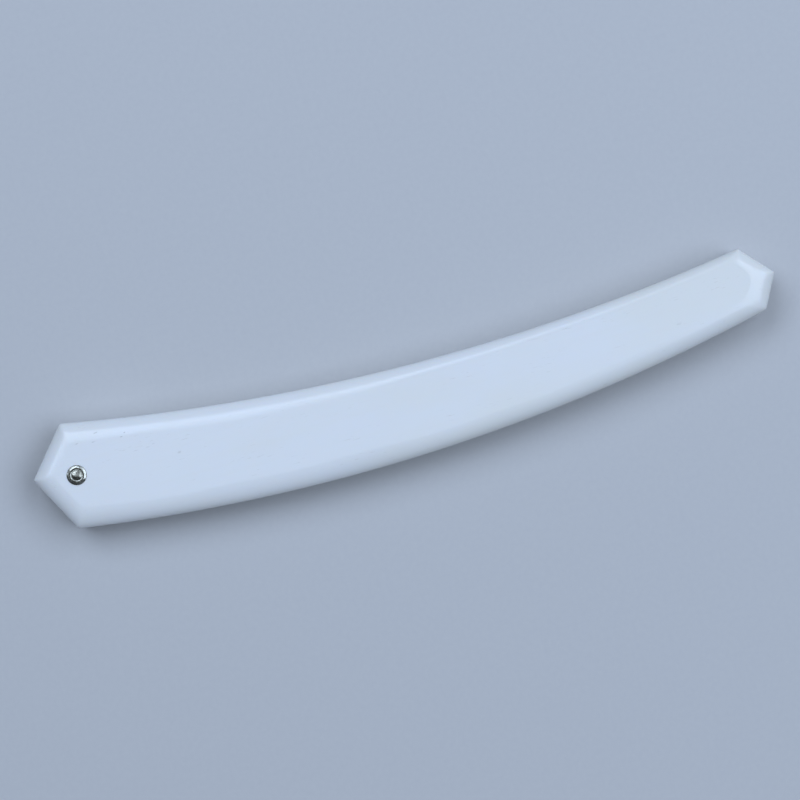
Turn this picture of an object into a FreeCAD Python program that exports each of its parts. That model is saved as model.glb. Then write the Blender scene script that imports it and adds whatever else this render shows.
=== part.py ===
"""Handle of a folding cut-throat razor: two curved bone scales, an end spacer and one rivet.

The two scales lie face to face with a gap between them for the razor's tang and blade. At the
wide end the gap is filled by a bone spacer, and one metal rivet goes through scale, spacer and
scale, with a collar under each of its heads. At the narrow end the gap is open, ready for a razor
to be pinned there. Nothing else ties the scales, so the front one can be swung round the rivet.

Frame: +X runs from the wide end to the narrow end along the straight line between the two tips,
+Y points to the hollow (spine) side and +Z to the front scale. The origin is the bottom centre
of the whole handle's box. All sizes are in millimetres.
"""

import FreeCAD
import Part
import math
import os
from FreeCAD import Vector

# Outline of a scale, seen from the front.
HANDLE_LENGTH = 152.0  # straight line, tip to tip
CENTRE_DROP = 6.95  # how far the curved centre line hangs below that straight line
MIDDLE_WIDTH = 18.0
WIDE_WIDTH = 21.0  # between the shoulders, square to the centre line
WIDE_TIP_SHIFT = 0.3  # shoulders' middle from the tip, towards the spine
WIDE_SPINE_SETBACK = 6.15  # tip to shoulder, along the centre line
WIDE_BELLY_SETBACK = 8.05
NARROW_WIDTH = 13.3
NARROW_TIP_SHIFT = 0.7
NARROW_SPINE_SETBACK = 4.5
NARROW_BELLY_SETBACK = 4.75
CORNER_ROUND = 0.5  # on the tips and shoulders, which the sizes above take as sharp

# Section through the handle.
SCALE_THICKNESS = 2.8
EDGE_ROUND = 2.2  # round along the outer edge of each scale
TANG_GAP = 4.4  # between the scales' inner faces
SPACER_LENGTH = 24.0  # wide tip to the spacer's inner end
SPACER_BEVEL = 0.4  # on the inner end's two edges
TURN_CLEARANCE = 0.03  # front scale to spacer, and front scale to its collar

# Rivet and collars.
PIN_SETBACK = 8.9  # wide tip to the rivet's axis
PIN_RADIUS = 0.8
PIN_CLEARANCE = 0.03  # pin to the holes through scales and spacer
COLLAR_BORE_CLEARANCE = 0.05
HEAD_OVERHANG = 0.15  # head's edge beyond the shank
HEAD_RISE = 0.3
HEAD_RIM = 0.08  # straight edge of a head, below its dome
COLLAR_RADIUS = 1.95
COLLAR_SEAT_DEPTH = 0.35  # seat sunk into the scale's outer face
COLLAR_SEAT_CLEARANCE = 0.05
COLLAR_THICKNESS = 0.3  # of its flange, and of its cup's floor
CUP_CLEARANCE = 0.12  # head's edge to the cup's wall
FLANGE_WIDTH = 0.08  # flat rim left outside the ridge
RIDGE_RISE = 0.36  # above the cup's floor, and above the head, so the handle lies on this ring

UP = Vector(0, 0, 1)


def turned(angle, along, across):
    """A point given along and across a direction at this angle from +X."""
    return Vector(
        along * math.cos(angle) - across * math.sin(angle),
        along * math.sin(angle) + across * math.cos(angle),
        0,
    )


def centre_line_radius():
    half = HANDLE_LENGTH / 2
    return (half**2 + CENTRE_DROP**2) / (2 * CENTRE_DROP)


def end_angle():
    """Slope of the centre line at each tip."""
    return math.asin(HANDLE_LENGTH / 2 / centre_line_radius())


def wide_tip():
    return Vector(-HANDLE_LENGTH / 2, 0, 0)


def wide_point(along, across):
    """A point in the wide end: along is from the tip inwards, across is towards the spine."""
    return wide_tip() + turned(-end_angle(), along, across)


def narrow_point(along, across):
    """The same in the narrow end."""
    tip = Vector(HANDLE_LENGTH / 2, 0, 0)
    return tip + turned(math.pi + end_angle(), along, -across)


def outline():
    """Closed wire of a scale: pointed at both ends, with one long arc on each side."""
    spine_wide = wide_point(WIDE_SPINE_SETBACK, WIDE_WIDTH / 2 + WIDE_TIP_SHIFT)
    belly_wide = wide_point(WIDE_BELLY_SETBACK, WIDE_TIP_SHIFT - WIDE_WIDTH / 2)
    spine_narrow = narrow_point(NARROW_SPINE_SETBACK, NARROW_WIDTH / 2 + NARROW_TIP_SHIFT)
    belly_narrow = narrow_point(NARROW_BELLY_SETBACK, NARROW_TIP_SHIFT - NARROW_WIDTH / 2)
    spine_middle = Vector(0, MIDDLE_WIDTH / 2 - CENTRE_DROP, 0)
    belly_middle = Vector(0, -MIDDLE_WIDTH / 2 - CENTRE_DROP, 0)
    narrow_tip = narrow_point(0, 0)
    return Part.Wire([
        Part.Arc(spine_wide, spine_middle, spine_narrow).toShape(),
        Part.LineSegment(spine_narrow, narrow_tip).toShape(),
        Part.LineSegment(narrow_tip, belly_narrow).toShape(),
        Part.Arc(belly_narrow, belly_middle, belly_wide).toShape(),
        Part.LineSegment(belly_wide, wide_tip()).toShape(),
        Part.LineSegment(wide_tip(), spine_wide).toShape(),
    ])


def slab(thickness):
    """Scale-shaped plate standing on z = 0."""
    plate = Part.Face(outline()).extrude(UP * thickness)
    corners = [e for e in plate.Edges if e.BoundBox.ZLength > thickness / 2]
    return plate.makeFillet(CORNER_ROUND, corners)


def pin_axis():
    """Where the rivet stands: on the line from the wide tip to the middle of its shoulders."""
    back = (WIDE_SPINE_SETBACK + WIDE_BELLY_SETBACK) / 2
    middle = wide_point(back, WIDE_TIP_SHIFT) - wide_tip()
    return wide_tip() + middle.normalize() * PIN_SETBACK


def drilled(solid, radius, low, high):
    """The solid with a hole on the rivet's axis, from one height to another."""
    hole = Part.makeCylinder(radius, high - low, pin_axis() + UP * low, UP)
    return solid.cut(hole)


def front_scale():
    """A scale lying on z = 0 with its inner face down, and its collar seat on top."""
    scale = slab(SCALE_THICKNESS)
    outer = [e for e in scale.Edges if e.BoundBox.ZMin > SCALE_THICKNESS - 1e-6]
    scale = scale.makeFillet(EDGE_ROUND, outer)
    scale = drilled(scale, PIN_RADIUS + PIN_CLEARANCE, -1, SCALE_THICKNESS + 1)
    seat_radius = COLLAR_RADIUS + COLLAR_SEAT_CLEARANCE
    seat_floor = SCALE_THICKNESS - COLLAR_SEAT_DEPTH
    return drilled(scale, seat_radius, seat_floor, SCALE_THICKNESS + 1)


def end_spacer():
    """Fills the gap at the wide end, flush with the scales' edges, on z = 0."""
    thickness = TANG_GAP - TURN_CLEARANCE
    size = 2 * HANDLE_LENGTH
    beyond = Part.makeBox(size, size, size, Vector(0, -size / 2, -size / 2))
    beyond.rotate(Vector(0, 0, 0), UP, -math.degrees(end_angle()))
    beyond.translate(wide_point(SPACER_LENGTH, 0))
    spacer = slab(thickness).cut(beyond)
    inner_end = max(spacer.Faces, key=lambda f: f.CenterOfMass.x)
    across = [e for e in inner_end.Edges if e.BoundBox.ZLength < 1e-6]
    spacer = spacer.makeChamfer(SPACER_BEVEL, across)
    return drilled(spacer, PIN_RADIUS + PIN_CLEARANCE, -1, thickness + 1)


def turned_piece(wire):
    """Solid of revolution about Z from a closed profile in the XZ plane."""
    return Part.Face(wire).revolve(Vector(0, 0, 0), UP, 360)


def collar():
    """Flanged cup washer with a rolled ridge, standing on z = 0 about the Z axis."""
    bore = PIN_RADIUS + COLLAR_BORE_CLEARANCE
    cup = PIN_RADIUS + HEAD_OVERHANG + CUP_CLEARANCE
    foot = COLLAR_RADIUS - FLANGE_WIDTH
    crest = Vector((cup + foot) / 2, 0, COLLAR_THICKNESS + RIDGE_RISE)
    corners = [
        Vector(foot, 0, COLLAR_THICKNESS),
        Vector(COLLAR_RADIUS, 0, COLLAR_THICKNESS),
        Vector(COLLAR_RADIUS, 0, 0),
        Vector(bore, 0, 0),
        Vector(bore, 0, COLLAR_THICKNESS),
        Vector(cup, 0, COLLAR_THICKNESS),
    ]
    flats = [Part.LineSegment(a, b).toShape() for a, b in zip(corners, corners[1:])]
    ridge = Part.Arc(corners[-1], crest, corners[0]).toShape()
    return turned_piece(Part.Wire(flats + [ridge]))


def rivet(reach):
    """Pin about the Z axis, centred on z = 0. Its heads' undersides stand at reach, up and down."""
    head = PIN_RADIUS + HEAD_OVERHANG
    rim = reach + HEAD_RIM
    top = reach + HEAD_RISE
    # Half a dome, as a three-point arc on the sphere through the rim and the top.
    sphere = (head**2 + (top - rim) ** 2) / (2 * (top - rim))
    half_angle = math.asin(head / sphere) / 2
    middle = Vector(sphere * math.sin(half_angle), 0, top - sphere * (1 - math.cos(half_angle)))
    upper = Part.Wire([
        Part.LineSegment(Vector(0, 0, 0), Vector(PIN_RADIUS, 0, 0)).toShape(),
        Part.LineSegment(Vector(PIN_RADIUS, 0, 0), Vector(PIN_RADIUS, 0, reach)).toShape(),
        Part.LineSegment(Vector(PIN_RADIUS, 0, reach), Vector(head, 0, reach)).toShape(),
        Part.LineSegment(Vector(head, 0, reach), Vector(head, 0, rim)).toShape(),
        Part.Arc(Vector(head, 0, rim), middle, Vector(0, 0, top)).toShape(),
        Part.LineSegment(Vector(0, 0, top), Vector(0, 0, 0)).toShape(),
    ])
    half = turned_piece(upper)
    return half.fuse(half.mirror(Vector(0, 0, 0), UP)).removeSplitter()


def build():
    """Every piece in its place, by node name."""
    axis = pin_axis()
    # Heights from the middle of the gap.
    rear_inner = -TANG_GAP / 2
    front_inner = TANG_GAP / 2
    rear_seat = rear_inner - SCALE_THICKNESS + COLLAR_SEAT_DEPTH
    front_seat = front_inner + SCALE_THICKNESS - COLLAR_SEAT_DEPTH
    front_collar_base = front_seat + TURN_CLEARANCE

    front = front_scale()
    rear = front.mirror(Vector(0, 0, 0), UP)
    front.translate(UP * front_inner)
    rear.translate(UP * rear_inner)

    spacer = end_spacer()
    spacer.translate(UP * rear_inner)

    upper_collar = collar()
    upper_collar.translate(axis + UP * front_collar_base)
    lower_collar = collar().mirror(Vector(0, 0, 0), UP)
    lower_collar.translate(axis + UP * rear_seat)

    # The heads seat on both cups' floors, and the pin's middle is halfway between them.
    upper_floor = front_collar_base + COLLAR_THICKNESS
    lower_floor = rear_seat - COLLAR_THICKNESS
    pin = rivet((upper_floor - lower_floor) / 2)
    pin.translate(axis + UP * (upper_floor + lower_floor) / 2)

    return {
        "front_scale": front,
        "rear_scale": rear,
        "end_spacer": spacer,
        "front_collar": upper_collar,
        "rear_collar": lower_collar,
        "rivet": pin,
    }


def main():
    pieces = build()
    box = FreeCAD.BoundBox()
    for shape in pieces.values():
        box.add(shape.optimalBoundingBox())
    to_origin = Vector(-box.Center.x, -box.Center.y, -box.ZMin)
    os.makedirs("parts", exist_ok=True)
    for name, shape in pieces.items():
        shape.translate(to_origin)
        shape.exportStep(os.path.join("parts", name + ".step"))
        print(name, "volume", round(shape.Volume, 2), "valid", shape.isValid(), len(shape.Solids))
    axis = pin_axis() + to_origin
    print("size", round(box.XLength, 3), round(box.YLength, 3), round(box.ZLength, 3))
    print("rivet axis", round(axis.x, 4), round(axis.y, 4))
    print("rear outer face z", round(to_origin.z - TANG_GAP / 2 - SCALE_THICKNESS, 4))
    print("middle of the gap z", round(to_origin.z, 4))


main()
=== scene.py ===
# Looks of a folding razor's bone handle: two hand-finished scales, a sawn spacer, a peened
# nickel silver rivet and its cupped collars. Lengths are in metres, in the frame's axes.

import math
import random

import bmesh
import bpy
import numpy as np
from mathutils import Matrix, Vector, noise


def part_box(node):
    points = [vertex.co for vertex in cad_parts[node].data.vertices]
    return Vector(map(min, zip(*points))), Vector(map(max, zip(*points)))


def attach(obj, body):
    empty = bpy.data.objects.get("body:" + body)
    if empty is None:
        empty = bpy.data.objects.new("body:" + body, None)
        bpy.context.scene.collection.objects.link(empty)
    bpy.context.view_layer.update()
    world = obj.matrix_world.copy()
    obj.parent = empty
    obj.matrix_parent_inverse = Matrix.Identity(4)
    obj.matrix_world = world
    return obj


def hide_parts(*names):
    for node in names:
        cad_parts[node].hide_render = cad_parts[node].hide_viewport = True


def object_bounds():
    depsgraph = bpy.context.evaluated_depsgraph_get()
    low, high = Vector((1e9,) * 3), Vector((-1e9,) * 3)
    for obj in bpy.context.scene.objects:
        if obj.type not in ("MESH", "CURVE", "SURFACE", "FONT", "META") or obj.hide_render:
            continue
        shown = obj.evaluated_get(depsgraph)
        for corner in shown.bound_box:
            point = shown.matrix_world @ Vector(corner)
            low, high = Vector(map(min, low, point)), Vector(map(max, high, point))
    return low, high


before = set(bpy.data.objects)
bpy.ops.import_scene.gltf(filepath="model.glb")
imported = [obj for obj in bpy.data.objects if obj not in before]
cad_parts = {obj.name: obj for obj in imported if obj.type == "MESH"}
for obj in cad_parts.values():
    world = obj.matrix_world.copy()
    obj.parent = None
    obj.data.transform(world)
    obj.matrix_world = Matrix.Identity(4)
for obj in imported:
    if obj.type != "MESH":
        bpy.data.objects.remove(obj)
cad_low, cad_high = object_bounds()
MM = 0.001

# Outline of a scale: the straight line between its tips, widths square to its centre line, and
# how far the shoulders are set back from each tip.
HANDLE_LENGTH = 152.0 * MM
CENTRE_DROP = 6.95 * MM
MIDDLE_WIDTH = 18.0 * MM
WIDE_WIDTH = 21.0 * MM
WIDE_TIP_SHIFT = 0.3 * MM
WIDE_SPINE_SETBACK = 6.15 * MM
WIDE_BELLY_SETBACK = 8.05 * MM
NARROW_WIDTH = 13.3 * MM
NARROW_TIP_SHIFT = 0.7 * MM
NARROW_SPINE_SETBACK = 4.5 * MM
NARROW_BELLY_SETBACK = 4.75 * MM

# How the scales were finished by hand. Each edge's soft band is a shallow bevel that runs out
# into a rounded edge. Its width is given at the wide and at the narrow end.
CORNER_SOFTNESS = 0.13 * MM
SPINE_BAND = (3.7 * MM, 2.0 * MM)
BELLY_BAND = (3.9 * MM, 3.4 * MM)
WIDE_FACET_BAND = 3.6 * MM
NARROW_BELLY_FACET_BAND = 4.2 * MM
NARROW_SPINE_FACET_BAND = 2.9 * MM
WIDE_BAND_SOFTNESS = 0.09
NARROW_BAND_SOFTNESS = 0.27
BEVEL_DROP = 0.5 * MM
BEVEL_START = 0.04
ROUND_SHARE = 0.845
ROUND_DROP = 2.05 * MM
WALL_EASE = 0.1 * MM
BAND_LIMIT = 0.4  # widest that a band may be, as a share of the handle's width
TAPER_START = 0.3  # before the middle, as a share of the handle's length
TAPER_LENGTH = 0.6

# Unevenness of hand work: waves in the bands' widths, as (size, length, start), and in the face.
BAND_WAVES = [(0.05, 11 * MM, 0.0), (0.03, 4.3 * MM, 1.0)]
FACE_WAVE = 0.03 * MM
FACE_WAVE_ALONG = 9 * MM
FACE_WAVE_ACROSS = 5 * MM
FACE_WAVE_DRIFT = 30 * MM
FACE_WAVE_START = 0.6

# Seats and holes drilled for the rivet and its collars, and the sawn spacer.
SEAT_RADIUS = 1.97 * MM
SEAT_RIM = 0.02 * MM
SEAT_DEPTH = 0.35 * MM
HOLE_RADIUS = 0.83 * MM
SPACER_LENGTH = 24.0 * MM
SPACER_EASE = 0.15 * MM
DRILL_OVERRUN = 1.0 * MM

# Flecks in the bone. Those in the front face are given by place along and across the handle, then
# length and width, all in millimetres, and strength. Those in the back face are left to chance.
FLECK_TONE = (0.20, 0.17, 0.12, 1)
FRONT_FACE = 10.2  # height above the floor, in millimetres
FRONT_FLECKS = [
    (-55.9, 7.6, (0.4, 0.3, 0.75)),
    (-56.7, 7.0, (0.5, 0.2, 0.4)),
    (-62.2, 7.5, (1.1, 0.26, 0.45)),
    (-61.3, 9.1, (0.9, 0.26, 0.45)),
    (-65.7, 8.0, (1.1, 0.2, 0.5)),
    (-46.5, 1.0, (0.7, 0.5, 0.25)),
    (-54.8, 3.6, (0.9, 0.2, 0.2)),
    (-52.2, 3.6, (1.0, 0.35, 0.2)),
    (-51.0, 4.0, (0.8, 0.3, 0.2)),
    (54.8, -1.4, (1.5, 0.5, 0.22)),
]
BACK_FACE = 0.4
BACK_FLECKS = 7
BACK_REACH = 65  # from the middle, along the handle
BACK_SPREAD = 5  # from the centre line, across the handle
CENTRE_LINE = (3.3, 6.9, 76)  # across at the tips, drop at the middle, half the length

# How finely the meshes are divided.
SCALE_CREASE = 35  # degrees
METAL_CREASE = 40
ROWS = 420
ROW_CROWDING = 0.93
BAND_COLUMNS = 18
FLAT_COLUMNS = 40
LATHE_STEPS = 144
HALVINGS = 46  # in the search for the softened outline
TIP_SAMPLES = 161

# Collar and rivet, measured from the collar's seat.
COLLAR_BORE = 0.85 * MM
BORE_EASE = 0.03 * MM
CUP_FLOOR = 0.3 * MM
CUP_RADIUS = 1.07 * MM
RIDGE_CREST = 1.47 * MM
FLANGE_EDGE = 0.49 * MM
FLANGE_ROUND = 0.09 * MM
FLANGE_STEP = 0.03 * MM
FLANGE_CURVE = 1.25
CUP_WALL_START = math.radians(20)
HEAD_RADIUS = 1.04 * MM
SHANK_RADIUS = 0.8 * MM
HEAD_RISE = 0.3 * MM
HEAD_RIM = 0.06 * MM
HEAD_EASE = 0.04 * MM

# Hammer marks on the head: direction across the view and tilt in degrees, and depth.
HEAD_BLOWS = [
    (-118, 14, 0.030 * MM),
    (150, 12, 0.022 * MM),
    (66, 8, 0.020 * MM),
    (2, 17, 0.026 * MM),
    (-55, 21, 0.034 * MM),
    (105, 24, 0.030 * MM),
    (-170, 26, 0.034 * MM),
]

# Hammer marks round a collar's ridge. Some are level and the others tilt outwards, in degrees.
RIDGE_BLOWS = 10
LEVEL_BLOWS = 0.4
RIDGE_TILTS = (8, 22)
RIDGE_BLOW_DEPTHS = (0.005 * MM, 0.03 * MM)
RIDGE_BLOW_SPREAD = 0.25 * MM
HAMMER_SOFTNESS = 0.006 * MM
RIDGE_ROUGHNESS = 0.02 * MM
HEAD_ROUGHNESS = 0.012 * MM
ROUGHNESS_SCALE = 1500.0

# Camera straight above, turned so that the handle lies aslant.
VIEW_TURN = math.radians(15.75)
VIEW_WIDTH = 157.85 * MM
VIEW_HEIGHT = 0.55
VIEW_CENTRE = Vector((-2.03 * MM, -0.94 * MM, 8.0 * MM))
SENSOR = 36.0

# Softboxes hang level round and above the camera, and shine cool daylight.
SOFTBOX_HEIGHT = 1.2
DAYLIGHT = (0.64, 0.77, 1.0)
SOFTBOXES = [
    # name, left, right, low and high edge across the view, radiance
    ("left_softbox", -1.10, -0.15, 0.10, 1.15, 4.4),
    ("right_softbox", 0.34, 1.50, -0.42, 1.05, 3.6),
    ("overhead_softbox", -0.50, 0.50, -0.12, 0.10, 1.4),
]
SKY_STRENGTH = 0.09
FLOOR_REACH = 1.6
FLOOR_GAP = 0.02 * MM
FLOOR_TONES = ((0.54, 0.53, 0.52, 1), (0.58, 0.57, 0.55, 1))


# ---------------------------------------------------------------- outline


def turned(angle, along, across):
    """A point given along and across a direction at this angle from +X."""
    return np.array([
        along * math.cos(angle) - across * math.sin(angle),
        along * math.sin(angle) + across * math.cos(angle),
    ])


def circle_through(a, b, c):
    """Centre and radius of the circle through three points."""
    rows = np.array([b - a, c - a])
    half = np.array([(b @ b - a @ a) / 2, (c @ c - a @ a) / 2])
    centre = np.linalg.solve(rows, half)
    return centre, np.linalg.norm(a - centre)


def line_inside(a, b):
    """Normal and offset of the line from a to b, positive on its left."""
    along = (b - a) / np.linalg.norm(b - a)
    normal = np.array([-along[1], along[0]])
    return normal, -normal @ a


class Outline:
    """The handle's outline as two long arcs and four short facets."""

    def __init__(self):
        half = HANDLE_LENGTH / 2
        radius = (half**2 + CENTRE_DROP**2) / (2 * CENTRE_DROP)
        self.end_angle = math.asin(half / radius)
        self.wide_tip = np.array([-half, 0.0])
        self.narrow_tip = np.array([half, 0.0])
        spine_wide = self.wide_point(WIDE_SPINE_SETBACK, WIDE_WIDTH / 2 + WIDE_TIP_SHIFT)
        belly_wide = self.wide_point(WIDE_BELLY_SETBACK, WIDE_TIP_SHIFT - WIDE_WIDTH / 2)
        spine_narrow = self.narrow_point(NARROW_SPINE_SETBACK, NARROW_WIDTH / 2 + NARROW_TIP_SHIFT)
        belly_narrow = self.narrow_point(NARROW_BELLY_SETBACK, NARROW_TIP_SHIFT - NARROW_WIDTH / 2)
        spine_middle = np.array([0.0, MIDDLE_WIDTH / 2 - CENTRE_DROP])
        belly_middle = np.array([0.0, -MIDDLE_WIDTH / 2 - CENTRE_DROP])
        self.spine = circle_through(spine_wide, spine_middle, spine_narrow)
        self.belly = circle_through(belly_wide, belly_middle, belly_narrow)
        self.centre = circle_through(self.wide_tip, np.array([0.0, -CENTRE_DROP]), self.narrow_tip)
        self.facets = [
            line_inside(self.wide_tip, belly_wide),
            line_inside(belly_narrow, self.narrow_tip),
            line_inside(self.narrow_tip, spine_narrow),
            line_inside(spine_wide, self.wide_tip),
        ]

    def wide_point(self, along, across):
        """A point given from the wide tip, along the centre line's end and across it."""
        return self.wide_tip + turned(-self.end_angle, along, across)

    def narrow_point(self, along, across):
        """A point given from the narrow tip, along the centre line's end and across it."""
        return self.narrow_tip + turned(math.pi + self.end_angle, along, -across)

    def gaps(self, x, y):
        """Distance of each point from every edge, positive inside."""
        spine_centre, spine_radius = self.spine
        belly_centre, belly_radius = self.belly
        arcs = [
            np.hypot(x - spine_centre[0], y - spine_centre[1]) - spine_radius,
            belly_radius - np.hypot(x - belly_centre[0], y - belly_centre[1]),
        ]
        return np.stack(arcs + [n[0] * x + n[1] * y + offset for n, offset in self.facets])

    def depth(self, x, y, softness):
        """Distance inside the outline, with its corners softened."""
        gaps = self.gaps(x, y)
        nearest = gaps.min(axis=0)
        return nearest - softness * np.log(np.exp((nearest - gaps) / softness).sum(axis=0))

    def centre_y(self, x):
        """The centre line's place across the handle."""
        (centre_x, centre_y), radius = self.centre
        return centre_y - np.sqrt(radius**2 - (x - centre_x) ** 2)

    def edge(self, x, inset, side):
        """Where the softened outline, moved in by inset, crosses each x on one side."""
        start = self.centre_y(x)
        inside, outside = start.copy(), start + side * WIDE_WIDTH
        for _ in range(HALVINGS):
            middle = (inside + outside) / 2
            keep = self.depth(x, middle, CORNER_SOFTNESS) >= inset
            inside = np.where(keep, middle, inside)
            outside = np.where(keep, outside, middle)
        return inside

    def tip_x(self, inset, side):
        """Where the softened outline, moved in by inset, ends at one tip."""
        inside, outside = 0.0, side * HANDLE_LENGTH / 2
        for _ in range(HALVINGS):
            middle = (inside + outside) / 2
            across = self.centre_y(middle) + np.linspace(-1, 1, TIP_SAMPLES) * MM
            keep = self.depth(np.full_like(across, middle), across, CORNER_SOFTNESS).max() >= inset
            inside, outside = (middle, outside) if keep else (inside, middle)
        return inside


def smoothstep(value):
    """0 below 0, 1 above 1, and a gentle rise between."""
    t = np.clip(value, 0.0, 1.0)
    return t * t * (3 - 2 * t)


def row_places(low, high):
    """Places between two ends, close together near both."""
    u = np.linspace(0.0, 1.0, ROWS)
    return low + (high - low) * (u - ROW_CROWDING * np.sin(2 * math.pi * u) / (2 * math.pi))


def taper(x, ends):
    """A width that goes gently from its wide-end value to its narrow-end value."""
    towards_narrow = smoothstep((x / HANDLE_LENGTH + TAPER_START) / TAPER_LENGTH)
    return ends[0] + towards_narrow * (ends[1] - ends[0])


def face_columns(x, low, high):
    """Places across each row: crowded over the soft bands, even between them."""
    width = high - low
    turn = np.linspace(0.0, math.pi / 2, BAND_COLUMNS + 1)
    belly_band = np.minimum(taper(x, BELLY_BAND), BAND_LIMIT * width)[:, None]
    spine_band = np.minimum(taper(x, SPINE_BAND), BAND_LIMIT * width)[:, None]
    near = low[:, None] + belly_band * (1 - np.cos(turn))
    far = high[:, None] - spine_band * (1 - np.cos(turn[::-1]))
    share = np.linspace(0.0, 1.0, FLAT_COLUMNS + 1)[1:-1]
    between = near[:, -1:] + (far[:, :1] - near[:, -1:]) * share
    return np.hstack([near, between, far])


def band_share(outline, x, y):
    """0 at the outline, rising to 1 where the soft band meets the flat of the face."""
    even = np.ones_like(x)
    widths = [
        taper(x, SPINE_BAND),
        taper(x, BELLY_BAND),
        WIDE_FACET_BAND * even,
        NARROW_BELLY_FACET_BAND * even,
        NARROW_SPINE_FACET_BAND * even,
        WIDE_FACET_BAND * even,
    ]
    shares = outline.gaps(x, y) / np.stack(widths)
    nearest = shares.min(axis=0)
    inner_softness = taper(x, (WIDE_BAND_SOFTNESS, NARROW_BAND_SOFTNESS))
    edge_softness = CORNER_SOFTNESS / WIDE_FACET_BAND
    softness = edge_softness + smoothstep(nearest) * (inner_softness - edge_softness)
    blend = np.exp((nearest - shares) / softness).sum(axis=0)
    return np.clip(nearest - softness * np.log(blend), 0.0, None)


def face_drop(outline, x, y):
    """How far the outer face lies below its highest plane at each point."""
    unevenness = sum(size * np.sin(x / length + start) for size, length, start in BAND_WAVES)
    share = band_share(outline, x, y) * (1 + unevenness)
    into_band = np.clip(1 - share, 0.0, 1.0)
    bevel = BEVEL_DROP * into_band**2 / (into_band + BEVEL_START)
    into_round = np.clip(1 - share / ROUND_SHARE, 0.0, 1.0)
    rounding = ROUND_DROP * (1 - np.sqrt(1 - into_round**2))
    along = np.sin(x / FACE_WAVE_ALONG + FACE_WAVE_START)
    across = np.cos(y / FACE_WAVE_ACROSS + x / FACE_WAVE_DRIFT)
    return bevel + rounding + FACE_WAVE * (0.5 + 0.5 * along * across)


# ---------------------------------------------------------------- meshes


def new_piece(name, points, faces, materials=()):
    """Object made of points and faces, cleaned of doubles and with its faces turned outwards."""
    mesh = bpy.data.meshes.new(name)
    mesh.from_pydata([tuple(p) for p in points], [], faces)
    piece = bpy.data.objects.new(name, mesh)
    bpy.context.scene.collection.objects.link(piece)
    for material in materials:
        mesh.materials.append(material)
    clean = bmesh.new()
    clean.from_mesh(mesh)
    bmesh.ops.remove_doubles(clean, verts=clean.verts, dist=1e-7)
    bmesh.ops.dissolve_degenerate(clean, edges=clean.edges, dist=1e-8)
    bmesh.ops.recalc_face_normals(clean, faces=clean.faces)
    clean.to_mesh(mesh)
    clean.free()
    return piece


def grid_faces(rows, columns):
    """Quads of a grid whose points are numbered row by row."""
    faces = []
    for i in range(rows - 1):
        for j in range(columns - 1):
            a = i * columns + j
            faces.append((a, a + columns, a + columns + 1, a + 1))
    return faces


def bridge_faces(upper, lower):
    """Quads between two closed loops of point numbers."""
    count = len(upper)
    return [
        (upper[i], upper[(i + 1) % count], lower[(i + 1) % count], lower[i]) for i in range(count)
    ]


def grid_rim(rows, columns):
    """Point numbers round a grid's edge: low side, last row, high side, first row."""
    last_row = (rows - 1) * columns
    low_side = [i * columns for i in range(rows)]
    high_side = [i * columns + columns - 1 for i in range(rows - 2, -1, -1)]
    far_end = [last_row + j for j in range(1, columns)]
    near_end = list(range(columns - 2, 0, -1))
    return low_side + far_end + high_side + near_end


def outline_points(outline, inset):
    """x of every row, and both its ends, on the outline moved in by inset."""
    x = row_places(outline.tip_x(inset, -1), outline.tip_x(inset, 1))
    return x, outline.edge(x, inset, -1), outline.edge(x, inset, 1)


def scale_points(outline, y_shift, inner_z, outer_z):
    """Points and faces of a scale: rounded outer face, wall with an eased edge, flat inner face."""
    up = 1.0 if outer_z > inner_z else -1.0
    x, low, high = outline_points(outline, 0.0)
    y = face_columns(x, low, high)
    across = (y - low[:, None]) / np.maximum(high - low, 1e-9)[:, None]
    columns = y.shape[1]
    grid_x = np.repeat(x[:, None], columns, axis=1)
    top = outer_z - up * face_drop(outline, grid_x, y)
    points = [np.stack([grid_x, y + y_shift, top], axis=-1).reshape(-1, 3)]
    faces = grid_faces(ROWS, columns)
    rim = grid_rim(ROWS, columns)
    upper = rim
    count = ROWS * columns
    # The wall's rings repeat the face's rim, column for column, down to the inner face.
    for inset, level in ((0.0, inner_z + up * WALL_EASE), (WALL_EASE, inner_z)):
        ring_x, ring_low, ring_high = outline_points(outline, inset)
        ring_x = np.repeat(ring_x[:, None], columns, axis=1)
        ring_y = ring_low[:, None] + across * (ring_high - ring_low)[:, None] + y_shift
        ring_z = np.full_like(ring_y, level)
        points.append(np.stack([ring_x, ring_y, ring_z], axis=-1).reshape(-1, 3)[rim])
        lower = list(range(count, count + len(rim)))
        faces += bridge_faces(upper, lower)
        upper = lower
        count += len(rim)
    # The inner face is flat, so a strip of quads from side to side is enough.
    low_side = upper[:ROWS]
    high_side = upper[ROWS + columns - 2 : 2 * ROWS + columns - 2][::-1]
    faces += [
        (low_side[i], high_side[i], high_side[i + 1], low_side[i + 1]) for i in range(ROWS - 1)
    ]
    return np.vstack(points), faces


def lathe(name, profile, centre, up=1.0, materials=(), wobble=None):
    """Turned piece from (radius, height) points; wobble moves each point a little."""
    points, faces = [], []
    for step in range(LATHE_STEPS):
        angle = 2 * math.pi * step / LATHE_STEPS
        for radius, height in profile:
            place = Vector((radius * math.cos(angle), radius * math.sin(angle), height))
            if wobble:
                place = wobble(place)
            points.append(centre + Vector((place.x, place.y, up * place.z)))
    rings = len(profile)
    hollow = profile[0][0] > 0 and profile[-1][0] > 0
    for step in range(LATHE_STEPS):
        here = step * rings
        after = (step + 1) % LATHE_STEPS * rings
        for i in range(rings - 1):
            faces.append((here + i, after + i, after + i + 1, here + i + 1))
        if hollow:
            faces.append((here + rings - 1, after + rings - 1, after, here))
    return new_piece(name, points, faces, materials)


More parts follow.
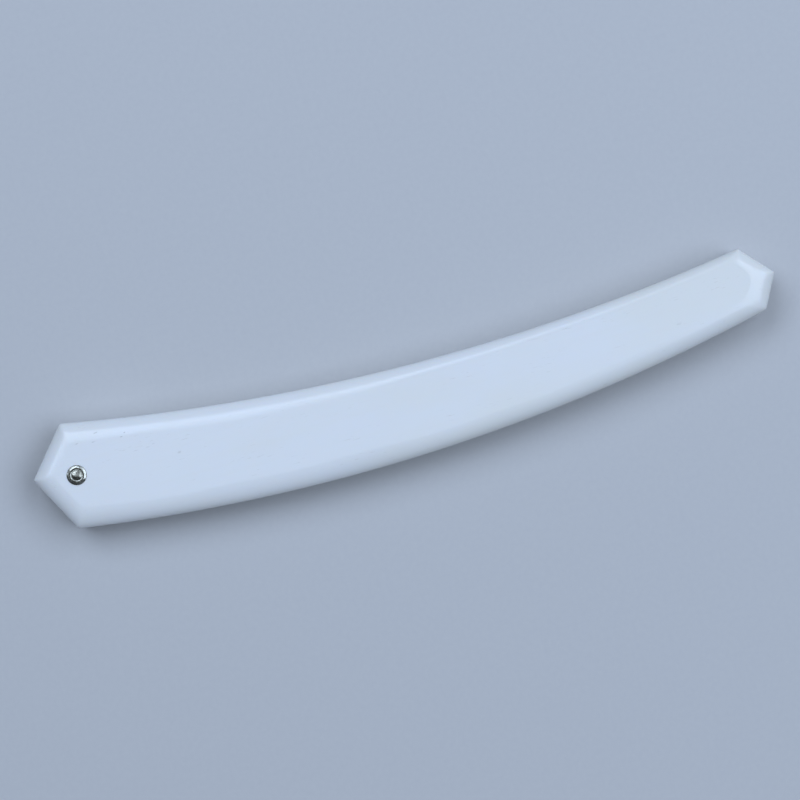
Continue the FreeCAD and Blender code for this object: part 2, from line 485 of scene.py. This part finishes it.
def arc_profile(centre, radii, start, stop, steps):
    """Points of an ellipse's arc, as (radius, height)."""
    turns = np.linspace(math.radians(start), math.radians(stop), steps)
    return [
        (centre[0] + radii[0] * math.cos(turn), centre[1] + radii[1] * math.sin(turn))
        for turn in turns
    ]


def cut_with(piece, cutter):
    """Takes the cutter's shape out of the piece."""
    cut = piece.modifiers.new("cut", "BOOLEAN")
    cut.operation, cut.solver, cut.object = "DIFFERENCE", "EXACT", cutter
    settle(piece)
    bpy.data.objects.remove(cutter)


def settle(piece):
    """Makes the piece's modifiers part of its mesh."""
    evaluated = piece.evaluated_get(bpy.context.evaluated_depsgraph_get())
    mesh = bpy.data.meshes.new_from_object(evaluated)
    piece.modifiers.clear()
    piece.data = mesh


def smooth(piece, angle=SCALE_CREASE):
    """Smooth shading, with edges sharper than the angle kept crisp."""
    piece.data.shade_smooth()
    piece.data.set_sharp_from_angle(angle=math.radians(angle))


# ---------------------------------------------------------------- shader helpers


class Nodes:
    """Short-hand for building a node tree."""

    def __init__(self, tree):
        self.tree = tree

    def add(self, kind, inputs=None, **settings):
        node = self.tree.nodes.new(kind)
        for key, value in settings.items():
            setattr(node, key, value)
        for key, value in (inputs or {}).items():
            self.feed(node.inputs[key], value)
        return node

    def feed(self, socket, value):
        if isinstance(value, bpy.types.NodeSocket):
            self.tree.links.new(value, socket)
        else:
            socket.default_value = value

    def math(self, operation, a, b=0.0, c=None):
        node = self.add("ShaderNodeMath", operation=operation)
        self.feed(node.inputs[0], a)
        self.feed(node.inputs[1], b)
        if c is not None:
            self.feed(node.inputs[2], c)
        return node.outputs[0]

    def ramp(self, value, low, high):
        """Value brought to 0..1 between two limits, smoothly."""
        node = self.add("ShaderNodeMapRange", interpolation_type="SMOOTHSTEP")
        for key, item in (("Value", value), ("From Min", low), ("From Max", high)):
            self.feed(node.inputs[key], item)
        return node.outputs["Result"]

    def mix(self, share, a, b):
        node = self.add("ShaderNodeMix", data_type="RGBA")
        for index, item in ((0, share), (6, a), (7, b)):
            self.feed(node.inputs[index], item)
        return node.outputs[2]

    def stretched(self, stretch, detail=2.0, roughness=0.5, shift=(0.0, 0.0, 0.0)):
        """Noise over the piece, with a number of features per metre on each axis."""
        place = self.add("ShaderNodeTexCoord").outputs["Object"]
        mapped = self.add(
            "ShaderNodeMapping", {"Vector": place, "Scale": stretch, "Location": shift}
        ).outputs[0]
        pattern = self.add(
            "ShaderNodeTexNoise",
            {"Vector": mapped, "Scale": 1.0, "Detail": detail, "Roughness": roughness},
        )
        return pattern.outputs["Fac"]


def shader_group(name, inputs, outputs):
    """Empty node group with named sockets, and its helper and end nodes."""
    tree = bpy.data.node_groups.new(name, "ShaderNodeTree")
    for label, kind, value in inputs:
        socket = tree.interface.new_socket(label, in_out="INPUT", socket_type=kind)
        socket.default_value = value
    for label, kind in outputs:
        tree.interface.new_socket(label, in_out="OUTPUT", socket_type=kind)
    nodes = Nodes(tree)
    return tree, nodes, nodes.add("NodeGroupInput").outputs, nodes.add("NodeGroupOutput").inputs


FLOAT, COLOUR = "NodeSocketFloat", "NodeSocketColor"


def bone_grain_group():
    """Bone: broad yellowed patches, faint long streaks, fine pores and the saw's marks."""
    tree, nodes, given, out = shader_group(
        "bone_grain",
        [
            ("Pale", COLOUR, (0.83, 0.82, 0.79, 1)),
            ("Yellowed", COLOUR, (0.80, 0.77, 0.66, 1)),
            ("Pore", COLOUR, (0.42, 0.36, 0.27, 1)),
            ("Patches", FLOAT, 0.6),
            ("Streaks", FLOAT, 0.2),
            ("Pores", FLOAT, 0.3),
            ("Saw marks", FLOAT, 0.0),
        ],
        [("Colour", COLOUR), ("Pits", FLOAT), ("Height", FLOAT)],
    )
    patches = nodes.ramp(nodes.stretched((26, 60, 60), 3.0, 0.5, (0.35, 0.0, 0.0)), 0.4, 0.68)
    streaks = nodes.ramp(nodes.stretched((38, 1000, 1000), 4.0, 0.62), 0.38, 0.78)
    pores = nodes.ramp(nodes.stretched((560, 5200, 5200), 1.0, 0.5), 0.68, 0.78)
    porous = nodes.ramp(nodes.stretched((90, 300, 300), 2.0, 0.5, (3.1, 0.4, 1.7)), 0.42, 0.7)
    pores = nodes.math("MULTIPLY", nodes.math("MULTIPLY", pores, porous), given["Pores"])
    patched = nodes.math("MULTIPLY", patches, given["Patches"])
    streaked = nodes.math("MULTIPLY", streaks, given["Streaks"])
    tone = nodes.mix(patched, given["Pale"], given["Yellowed"])
    tone = nodes.mix(streaked, tone, given["Yellowed"])
    sawn = nodes.ramp(nodes.stretched((2100, 110, 110), 3.0, 0.6, (5.0, 1.0, 2.0)), 0.36, 0.64)
    sawn = nodes.math("MULTIPLY", sawn, given["Saw marks"])
    tone = nodes.mix(nodes.math("MULTIPLY", sawn, 0.5), tone, given["Yellowed"])
    nodes.feed(out["Colour"], nodes.mix(pores, tone, given["Pore"]))
    nodes.feed(out["Pits"], pores)
    height = nodes.math("MULTIPLY_ADD", streaks, -0.12, nodes.math("MULTIPLY", pores, -1.0))
    nodes.feed(out["Height"], nodes.math("MULTIPLY_ADD", sawn, -1.2, height))
    return tree


def fleck_group():
    """One dark or yellow fleck: a long ragged spot at a place in the bone."""
    tree, nodes, given, out = shader_group(
        "bone_fleck",
        [
            ("Place", "NodeSocketVector", (0.0, 0.0, 0.0)),
            ("Length", FLOAT, 1.0 * MM),
            ("Width", FLOAT, 0.3 * MM),
        ],
        [("Mask", FLOAT)],
    )
    here = nodes.add("ShaderNodeTexCoord").outputs["Object"]
    away = nodes.add("ShaderNodeVectorMath", operation="SUBTRACT")
    nodes.feed(away.inputs[0], here)
    nodes.feed(away.inputs[1], given["Place"])
    parts = nodes.add("ShaderNodeSeparateXYZ", {"Vector": away.outputs[0]}).outputs
    along = nodes.math("DIVIDE", parts["X"], given["Length"])
    slanted = nodes.math("MULTIPLY_ADD", parts["X"], -0.08, parts["Y"])
    across = nodes.math("DIVIDE", slanted, given["Width"])
    down = nodes.math("DIVIDE", parts["Z"], 1.5 * MM)
    spread = nodes.math("MULTIPLY", along, along)
    spread = nodes.math("MULTIPLY_ADD", across, across, spread)
    spread = nodes.math("MULTIPLY_ADD", down, down, spread)
    ragged = nodes.stretched((1500, 5200, 5200), 3.0, 0.65)
    reach = nodes.math("MULTIPLY_ADD", ragged, 1.6, spread)
    nodes.feed(out["Mask"], nodes.ramp(reach, 1.15, 0.55))
    return tree


def metal_wear_group():
    """Worn metal: fine scratches, small dents and dull patches."""
    tree, nodes, given, out = shader_group(
        "metal_wear",
        [("Dents", FLOAT, 0.5)],
        [("Tarnish", FLOAT), ("Roughness change", FLOAT), ("Height", FLOAT)],
    )
    scratches = nodes.ramp(nodes.stretched((2500, 26000, 9000), 2.0), 0.5, 0.66)
    dents = nodes.stretched((1700, 1700, 1700), 2.0, 0.5, (2.0, 3.0, 4.0))
    dull = nodes.ramp(nodes.stretched((900, 900, 900), 3.0, 0.6), 0.42, 0.68)
    rougher = nodes.math("MULTIPLY_ADD", scratches, 0.12, nodes.math("MULTIPLY", dull, 0.15))
    nodes.feed(out["Tarnish"], dull)
    nodes.feed(out["Roughness change"], rougher)
    dented = nodes.math("MULTIPLY", dents, given["Dents"])
    nodes.feed(out["Height"], nodes.math("MULTIPLY_ADD", scratches, -0.08, dented))
    return tree


def new_material(name):
    """Material with a plain shader, and helpers for its nodes and the shader's sockets."""
    material = bpy.data.materials.new(name)
    material.use_nodes = True
    tree = material.node_tree
    tree.nodes.clear()
    nodes = Nodes(tree)
    shader = nodes.add("ShaderNodeBsdfPrincipled")
    end = nodes.add("ShaderNodeOutputMaterial")
    tree.links.new(shader.outputs[0], end.inputs["Surface"])
    return material, nodes, shader.inputs


def fleck_mask(nodes, group, flecks):
    """The strongest of several flecks at each point."""
    strongest = None
    for along, across, height, length, width, strength in flecks:
        spot = nodes.add("ShaderNodeGroup", node_tree=group)
        nodes.feed(spot.inputs["Place"], (along * MM, across * MM, height * MM))
        nodes.feed(spot.inputs["Length"], length * MM)
        nodes.feed(spot.inputs["Width"], width * MM)
        mask = nodes.math("MULTIPLY", spot.outputs["Mask"], strength)
        strongest = nodes.math("MAXIMUM", strongest, mask) if strongest else mask
    return strongest


def bone_material(name, groups, pale, yellowed, roughness, amounts, bump, flecks=()):
    """Bone with its grain, and with flecks where they are given."""
    grain_group, one_fleck = groups
    material, nodes, skin = new_material(name)
    grain = nodes.add("ShaderNodeGroup", node_tree=grain_group)
    for label, value in {"Pale": pale, "Yellowed": yellowed, **amounts}.items():
        nodes.feed(grain.inputs[label], value)
    tone, pits = grain.outputs["Colour"], grain.outputs["Pits"]
    if flecks:
        spots = fleck_mask(nodes, one_fleck, flecks)
        tone = nodes.mix(spots, tone, FLECK_TONE)
        pits = nodes.math("MAXIMUM", pits, spots)
    nodes.feed(skin["Base Color"], tone)
    handled = nodes.stretched((90, 260, 260), 3.0, 0.55, (8.0, 2.0, 5.0))
    gloss = nodes.math("MULTIPLY_ADD", handled, 0.10, roughness - 0.05)
    nodes.feed(skin["Roughness"], nodes.math("MULTIPLY_ADD", pits, 0.3, gloss))
    relief = nodes.add(
        "ShaderNodeBump",
        {"Height": grain.outputs["Height"], "Strength": 1.0, "Distance": bump},
    )
    nodes.feed(skin["Normal"], relief.outputs[0])
    skin["IOR"].default_value = 1.54
    skin["Specular IOR Level"].default_value = 0.4
    skin["Subsurface Weight"].default_value = 0.12
    skin["Subsurface Radius"].default_value = (1.0, 0.7, 0.45)
    skin["Subsurface Scale"].default_value = 0.0012
    return material


def metal_material(name, group, bright, dull, roughness, dents, bump):
    """Worn metal, between a bright and a tarnished tone."""
    material, nodes, skin = new_material(name)
    wear = nodes.add("ShaderNodeGroup", node_tree=group)
    nodes.feed(wear.inputs["Dents"], dents)
    nodes.feed(skin["Base Color"], nodes.mix(wear.outputs["Tarnish"], bright, dull))
    nodes.feed(
        skin["Roughness"], nodes.math("ADD", wear.outputs["Roughness change"], roughness)
    )
    relief = nodes.add(
        "ShaderNodeBump", {"Height": wear.outputs["Height"], "Strength": 1.0, "Distance": bump}
    )
    nodes.feed(skin["Normal"], relief.outputs[0])
    skin["Metallic"].default_value = 1.0
    return material


# ---------------------------------------------------------------- the handle's pieces


def rivet_axis(height):
    """The point of the rivet's axis at this height."""
    low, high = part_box("rivet")
    return Vector(((low.x + high.x) / 2, (low.y + high.y) / 2, height))


def make_scale(name, node, body, outline, y_shift, outer_up, materials):
    """Polished slab, sawn on its inner face, with a seat for the collar and a hole for the rivet."""
    low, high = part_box(node)
    inner_z, outer_z = (low.z, high.z) if outer_up else (high.z, low.z)
    points, faces = scale_points(outline, y_shift, inner_z, outer_z)
    piece = new_piece(name, points, faces, materials)
    for polygon in piece.data.polygons:
        flat = abs(polygon.center.z - inner_z) < WALL_EASE / 10
        polygon.material_index = 1 if flat else 0
    up = 1.0 if outer_up else -1.0
    depth = high.z - low.z
    profile = [
        (0.0, -DRILL_OVERRUN),
        (HOLE_RADIUS, -DRILL_OVERRUN),
        (HOLE_RADIUS, depth - SEAT_DEPTH),
        (SEAT_RADIUS, depth - SEAT_DEPTH),
        (SEAT_RADIUS, depth - SEAT_RIM - FACE_WAVE),
        (SEAT_RADIUS + 2 * SEAT_RIM, depth + SEAT_RIM),
        (SEAT_RADIUS + 2 * SEAT_RIM, depth + DRILL_OVERRUN),
        (0.0, depth + DRILL_OVERRUN),
    ]
    cutter = lathe(name + "_drill", profile, rivet_axis(inner_z), up, materials[1:])
    cut_with(piece, cutter)
    smooth(piece)
    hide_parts(node)
    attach(piece, body)


def make_spacer(outline, y_shift, material):
    """Slip of bone with the wide end's outline, sawn off square to the centre line."""
    low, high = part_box("end_spacer")
    x, near, far = outline_points(outline, 0.0)
    loop = list(zip(x, near)) + list(zip(x[::-1], far[::-1]))
    count = len(loop)
    points = [(a, b + y_shift, z) for z in (low.z, high.z) for a, b in loop]
    faces = [tuple(range(count))[::-1], tuple(range(count, 2 * count))]
    faces += bridge_faces(list(range(count, 2 * count)), list(range(count)))
    piece = new_piece("spacer_bone", points, faces, [material])
    shape = bmesh.new()
    shape.from_mesh(piece.data)
    cut_at = outline.wide_point(SPACER_LENGTH, 0.0)
    away = turned(-outline.end_angle, 1.0, 0.0)
    bmesh.ops.bisect_plane(
        shape,
        geom=shape.verts[:] + shape.edges[:] + shape.faces[:],
        plane_co=(cut_at[0], cut_at[1] + y_shift, 0.0),
        plane_no=(away[0], away[1], 0.0),
        clear_outer=True,
    )
    bmesh.ops.holes_fill(shape, edges=[e for e in shape.edges if e.is_boundary])
    shape.to_mesh(piece.data)
    shape.free()
    top = high.z - low.z + DRILL_OVERRUN
    hole = [
        (0.0, -DRILL_OVERRUN),
        (HOLE_RADIUS, -DRILL_OVERRUN),
        (HOLE_RADIUS, top),
        (0.0, top),
    ]
    cut_with(piece, lathe("spacer_drill", hole, rivet_axis(low.z)))
    ease = piece.modifiers.new("ease", "BEVEL")
    ease.width, ease.segments, ease.limit_method = SPACER_EASE, 3, "ANGLE"
    ease.angle_limit = math.radians(60)
    settle(piece)
    smooth(piece)
    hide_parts("end_spacer")
    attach(piece, "rear_half")


def softly_lowest(heights):
    """The lowest of several heights, with the edges between them eased."""
    lowest = min(heights)
    spread = sum(math.exp((lowest - h) / HAMMER_SOFTNESS) for h in heights)
    return lowest - HAMMER_SOFTNESS * math.log(spread)


def rough_cast(place, seed, amount):
    """Small unevenness, between nothing and the amount."""
    sample = place * ROUGHNESS_SCALE + Vector((seed, seed * 2, seed * 3))
    return amount * min(max(0.5 + 0.7 * noise.noise(sample), 0.0), 1.0)


def tangent_height(rise, reach, slope):
    """Where a plane that touches a quarter ellipse at this slope stands over its centre."""
    return math.hypot(rise, reach * slope)


def hammered_ridge(seed, crest):
    """Small flats struck round the collar's ridge, some level and some sloping outwards."""
    draw = random.Random(seed)
    blows = []
    for number in range(RIDGE_BLOWS):
        angle = 2 * math.pi * (number + draw.uniform(-0.3, 0.3)) / RIDGE_BLOWS
        slope = math.tan(math.radians(draw.uniform(*RIDGE_TILTS)))
        if draw.random() < LEVEL_BLOWS:
            slope = 0.0
        blows.append((angle, slope, crest - draw.uniform(*RIDGE_BLOW_DEPTHS)))

    def move(place):
        if place.z <= CUP_FLOOR:
            return place
        angle = math.atan2(place.y, place.x)
        outwards = math.hypot(place.x, place.y) - RIDGE_CREST
        heights = [place.z]
        for blow_angle, slope, height in blows:
            beside = math.remainder(angle - blow_angle, 2 * math.pi)
            heights.append(height - slope * outwards + RIDGE_BLOW_SPREAD * beside**2)
        lowered = softly_lowest(heights) - rough_cast(place, seed, RIDGE_ROUGHNESS)
        return Vector((place.x, place.y, max(lowered, CUP_FLOOR)))

    return move


def make_collar(name, node, material, seed):
    """Turned cup washer: sloping flange, hammered ridge and a hollow cup for the rivet's head."""
    low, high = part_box(node)
    middle = (low + high) / 2
    on_top = node == "front_collar"
    radius = (high.x - low.x) / 2
    crest = high.z - low.z
    flange_reach = radius - FLANGE_STEP - RIDGE_CREST
    corner = radius - FLANGE_ROUND
    corner_radii = (FLANGE_ROUND, FLANGE_ROUND)
    profile = [(COLLAR_BORE, 0.0), (corner, 0.0)]
    profile += arc_profile((corner, FLANGE_ROUND), corner_radii, -90, 0, 7)[1:]
    profile += arc_profile((corner, FLANGE_EDGE - FLANGE_ROUND), corner_radii, 0, 55, 7)
    for share in np.linspace(1, 0, 16):
        fall = (crest - FLANGE_EDGE) * share**FLANGE_CURVE
        profile.append((RIDGE_CREST + flange_reach * share, crest - fall))
    # The cup's wall is hollow: steep below the crest and level where it meets the floor.
    cup_reach = (RIDGE_CREST - CUP_RADIUS) / math.cos(CUP_WALL_START)
    cup_rise = (crest - CUP_FLOOR) / (1 - math.sin(CUP_WALL_START))
    cup_centre = (CUP_RADIUS, CUP_FLOOR + cup_rise)
    start = -math.degrees(CUP_WALL_START)
    profile += arc_profile(cup_centre, (cup_reach, cup_rise), start, -90, 22)[1:]
    profile += [(COLLAR_BORE + BORE_EASE, CUP_FLOOR), (COLLAR_BORE, CUP_FLOOR - BORE_EASE)]
    foot = Vector((middle.x, middle.y, low.z if on_top else high.z))
    up = 1.0 if on_top else -1.0
    piece = lathe(name, profile, foot, up, [material], hammered_ridge(seed, crest))
    smooth(piece, METAL_CREASE)
    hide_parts(node)
    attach(piece, "rear_half")


def make_rivet(material):
    """Rod with a hammered head at each end."""
    low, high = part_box("rivet")
    middle = (low + high) / 2
    top = (high.z - low.z) / 2
    reach = top - HEAD_RISE
    rim = reach + HEAD_RIM
    dome = HEAD_RISE - HEAD_RIM
    half = [(SHANK_RADIUS, 0.0), (SHANK_RADIUS, reach)]
    half += [(HEAD_RADIUS - HEAD_EASE, reach), (HEAD_RADIUS, reach + HEAD_EASE)]
    half += arc_profile((0.0, rim), (HEAD_RADIUS, dome), 0, 90, 30)
    profile = [(r, -z) for r, z in half[::-1]] + half[1:]
    marks = []
    for direction, tilt, depth in HEAD_BLOWS:
        towards = math.radians(direction) - VIEW_TURN
        slope = math.tan(math.radians(tilt))
        height = rim + tangent_height(dome, HEAD_RADIUS, slope) - depth
        marks.append((slope * math.cos(towards), slope * math.sin(towards), height))

    def peened(place):
        if abs(place.z) <= reach:
            return place
        side = 1.0 if place.z > 0 else -1.0
        heights = [abs(place.z)] + [h - a * place.x - b * place.y for a, b, h in marks]
        lowered = max(softly_lowest(heights) - rough_cast(place, side, HEAD_ROUGHNESS), reach)
        return Vector((place.x, place.y, side * lowered))

    piece = lathe("rivet_pin", profile, middle, 1.0, [material], peened)
    smooth(piece, METAL_CREASE)
    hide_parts("rivet")
    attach(piece, "rear_half")


# ---------------------------------------------------------------- studio


def view_to_world(right, up):
    """A direction across the camera's view, in the handle's axes."""
    return Vector((
        right * math.cos(VIEW_TURN) + up * math.sin(VIEW_TURN),
        -right * math.sin(VIEW_TURN) + up * math.cos(VIEW_TURN),
        0.0,
    ))


def softbox(name, left, right, low, high, radiance):
    """Area light hung level above the handle. Its edges are given across the camera's view."""
    light = bpy.data.lights.new(name, "AREA")
    light.shape, light.size, light.size_y = "RECTANGLE", right - left, high - low
    light.energy = math.pi * (right - left) * (high - low) * radiance
    light.color = DAYLIGHT
    lamp = bpy.data.objects.new(name, light)
    bpy.context.scene.collection.objects.link(lamp)
    lamp.location = view_to_world((left + right) / 2, (low + high) / 2)
    lamp.location.z = SOFTBOX_HEIGHT
    lamp.rotation_euler = (0.0, 0.0, -VIEW_TURN)


def make_studio():
    """Pale floor, dim sky and the softboxes."""
    side = FLOOR_REACH
    corners = [(-side, -side, 0), (side, -side, 0), (side, side, 0), (-side, side, 0)]
    floor = new_piece("floor", corners, [(0, 1, 2, 3)])
    floor.location.z = cad_low.z - FLOOR_GAP
    material, nodes, skin = new_material("pale_floor")
    speckle = nodes.stretched((900, 900, 900), 3.0, 0.6)
    nodes.feed(skin["Base Color"], nodes.mix(speckle, *FLOOR_TONES))
    skin["Roughness"].default_value = 0.85
    floor.data.materials.append(material)

    world = bpy.data.worlds.new("studio")
    world.use_nodes = True
    sky = world.node_tree.nodes["Background"].inputs
    sky["Color"].default_value = (*DAYLIGHT, 1)
    sky["Strength"].default_value = SKY_STRENGTH
    bpy.context.scene.world = world

    for name, left, right, low, high, radiance in SOFTBOXES:
        softbox(name, left, right, low, high, radiance)


def make_camera():
    """Camera that looks straight down on the front scale."""
    data = bpy.data.cameras.new("camera")
    data.sensor_width = SENSOR
    data.lens = SENSOR * VIEW_HEIGHT / VIEW_WIDTH
    data.clip_start, data.clip_end = 0.01, 10.0
    camera = bpy.data.objects.new("camera", data)
    bpy.context.scene.collection.objects.link(camera)
    camera.location = VIEW_CENTRE + Vector((0.0, 0.0, VIEW_HEIGHT))
    camera.rotation_euler = (0.0, 0.0, -VIEW_TURN)
    bpy.context.scene.camera = camera


def flecks_on_both_faces():
    """The front face's own flecks, and others scattered by chance over the back."""
    front = [(*place, FRONT_FACE, *size) for *place, size in FRONT_FLECKS]
    tip_across, drop, half_length = CENTRE_LINE
    draw = random.Random(11)
    back = []
    for _ in range(BACK_FLECKS):
        along = draw.uniform(-BACK_REACH, BACK_REACH)
        centre = tip_across - drop * (1 - (along / half_length) ** 2)
        across = centre + draw.uniform(-BACK_SPREAD, BACK_SPREAD)
        length = draw.uniform(0.4, 1.1)
        width = draw.uniform(0.15, 0.3)
        strength = draw.uniform(0.3, 0.7)
        back.append((along, across, BACK_FACE, length, width, strength))
    return front + back


# ---------------------------------------------------------------- put together

bpy.context.scene.view_settings.view_transform = "Standard"
make_camera()
make_studio()

bone_groups = (bone_grain_group(), fleck_group())
wear = metal_wear_group()
polished_bone = bone_material(
    "polished_bone",
    bone_groups,
    pale=(0.83, 0.825, 0.80, 1),
    yellowed=(0.82, 0.80, 0.72, 1),
    roughness=0.20,
    amounts={"Patches": 0.6, "Streaks": 0.2, "Pores": 0.3},
    bump=0.004 * MM,
    flecks=flecks_on_both_faces(),
)
sawn_bone = bone_material(
    "sawn_bone",
    bone_groups,
    pale=(0.78, 0.75, 0.68, 1),
    yellowed=(0.72, 0.66, 0.53, 1),
    roughness=0.5,
    amounts={"Patches": 0.5, "Streaks": 0.6, "Pores": 1.0, "Saw marks": 0.7},
    bump=0.03 * MM,
)
# Partly real tarnish and partly painted shade: the collar's tones are set darker than bright nickel
# silver so that its reflections come out dim.
shaded_collar_metal = metal_material(
    "worn_and_shaded_nickel_silver",
    wear,
    bright=(0.48, 0.47, 0.40, 1),
    dull=(0.32, 0.31, 0.26, 1),
    roughness=0.22,
    dents=0.3,
    bump=0.012 * MM,
)
# Painted shade: the rivet's tones are set darker than the collar's nickel silver, so that its head
# shows a dark reflection where the overhead softbox would light it.
shaded_rivet_metal = metal_material(
    "peened_and_shaded_nickel_silver",
    wear,
    bright=(0.34, 0.325, 0.265, 1),
    dull=(0.19, 0.185, 0.145, 1),
    roughness=0.18,
    dents=0.5,
    bump=0.02 * MM,
)

# The outline is laid along its own tips, then shifted so that its belly meets the scale's box.
handle_outline = Outline()
belly_x = np.linspace(-HANDLE_LENGTH / 4, HANDLE_LENGTH / 4, 4001)
lowest_belly = handle_outline.edge(belly_x, 0.0, -1).min()
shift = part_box("front_scale")[0].y - lowest_belly

bones = [polished_bone, sawn_bone]
make_scale("front_scale_bone", "front_scale", "front_half", handle_outline, shift, True, bones)
make_scale("rear_scale_bone", "rear_scale", "rear_half", handle_outline, shift, False, bones)
make_spacer(handle_outline, shift, sawn_bone)
make_collar("front_collar_cup", "front_collar", shaded_collar_metal, 3)
make_collar("rear_collar_cup", "rear_collar", shaded_collar_metal, 8)
make_rivet(shaded_rivet_metal)
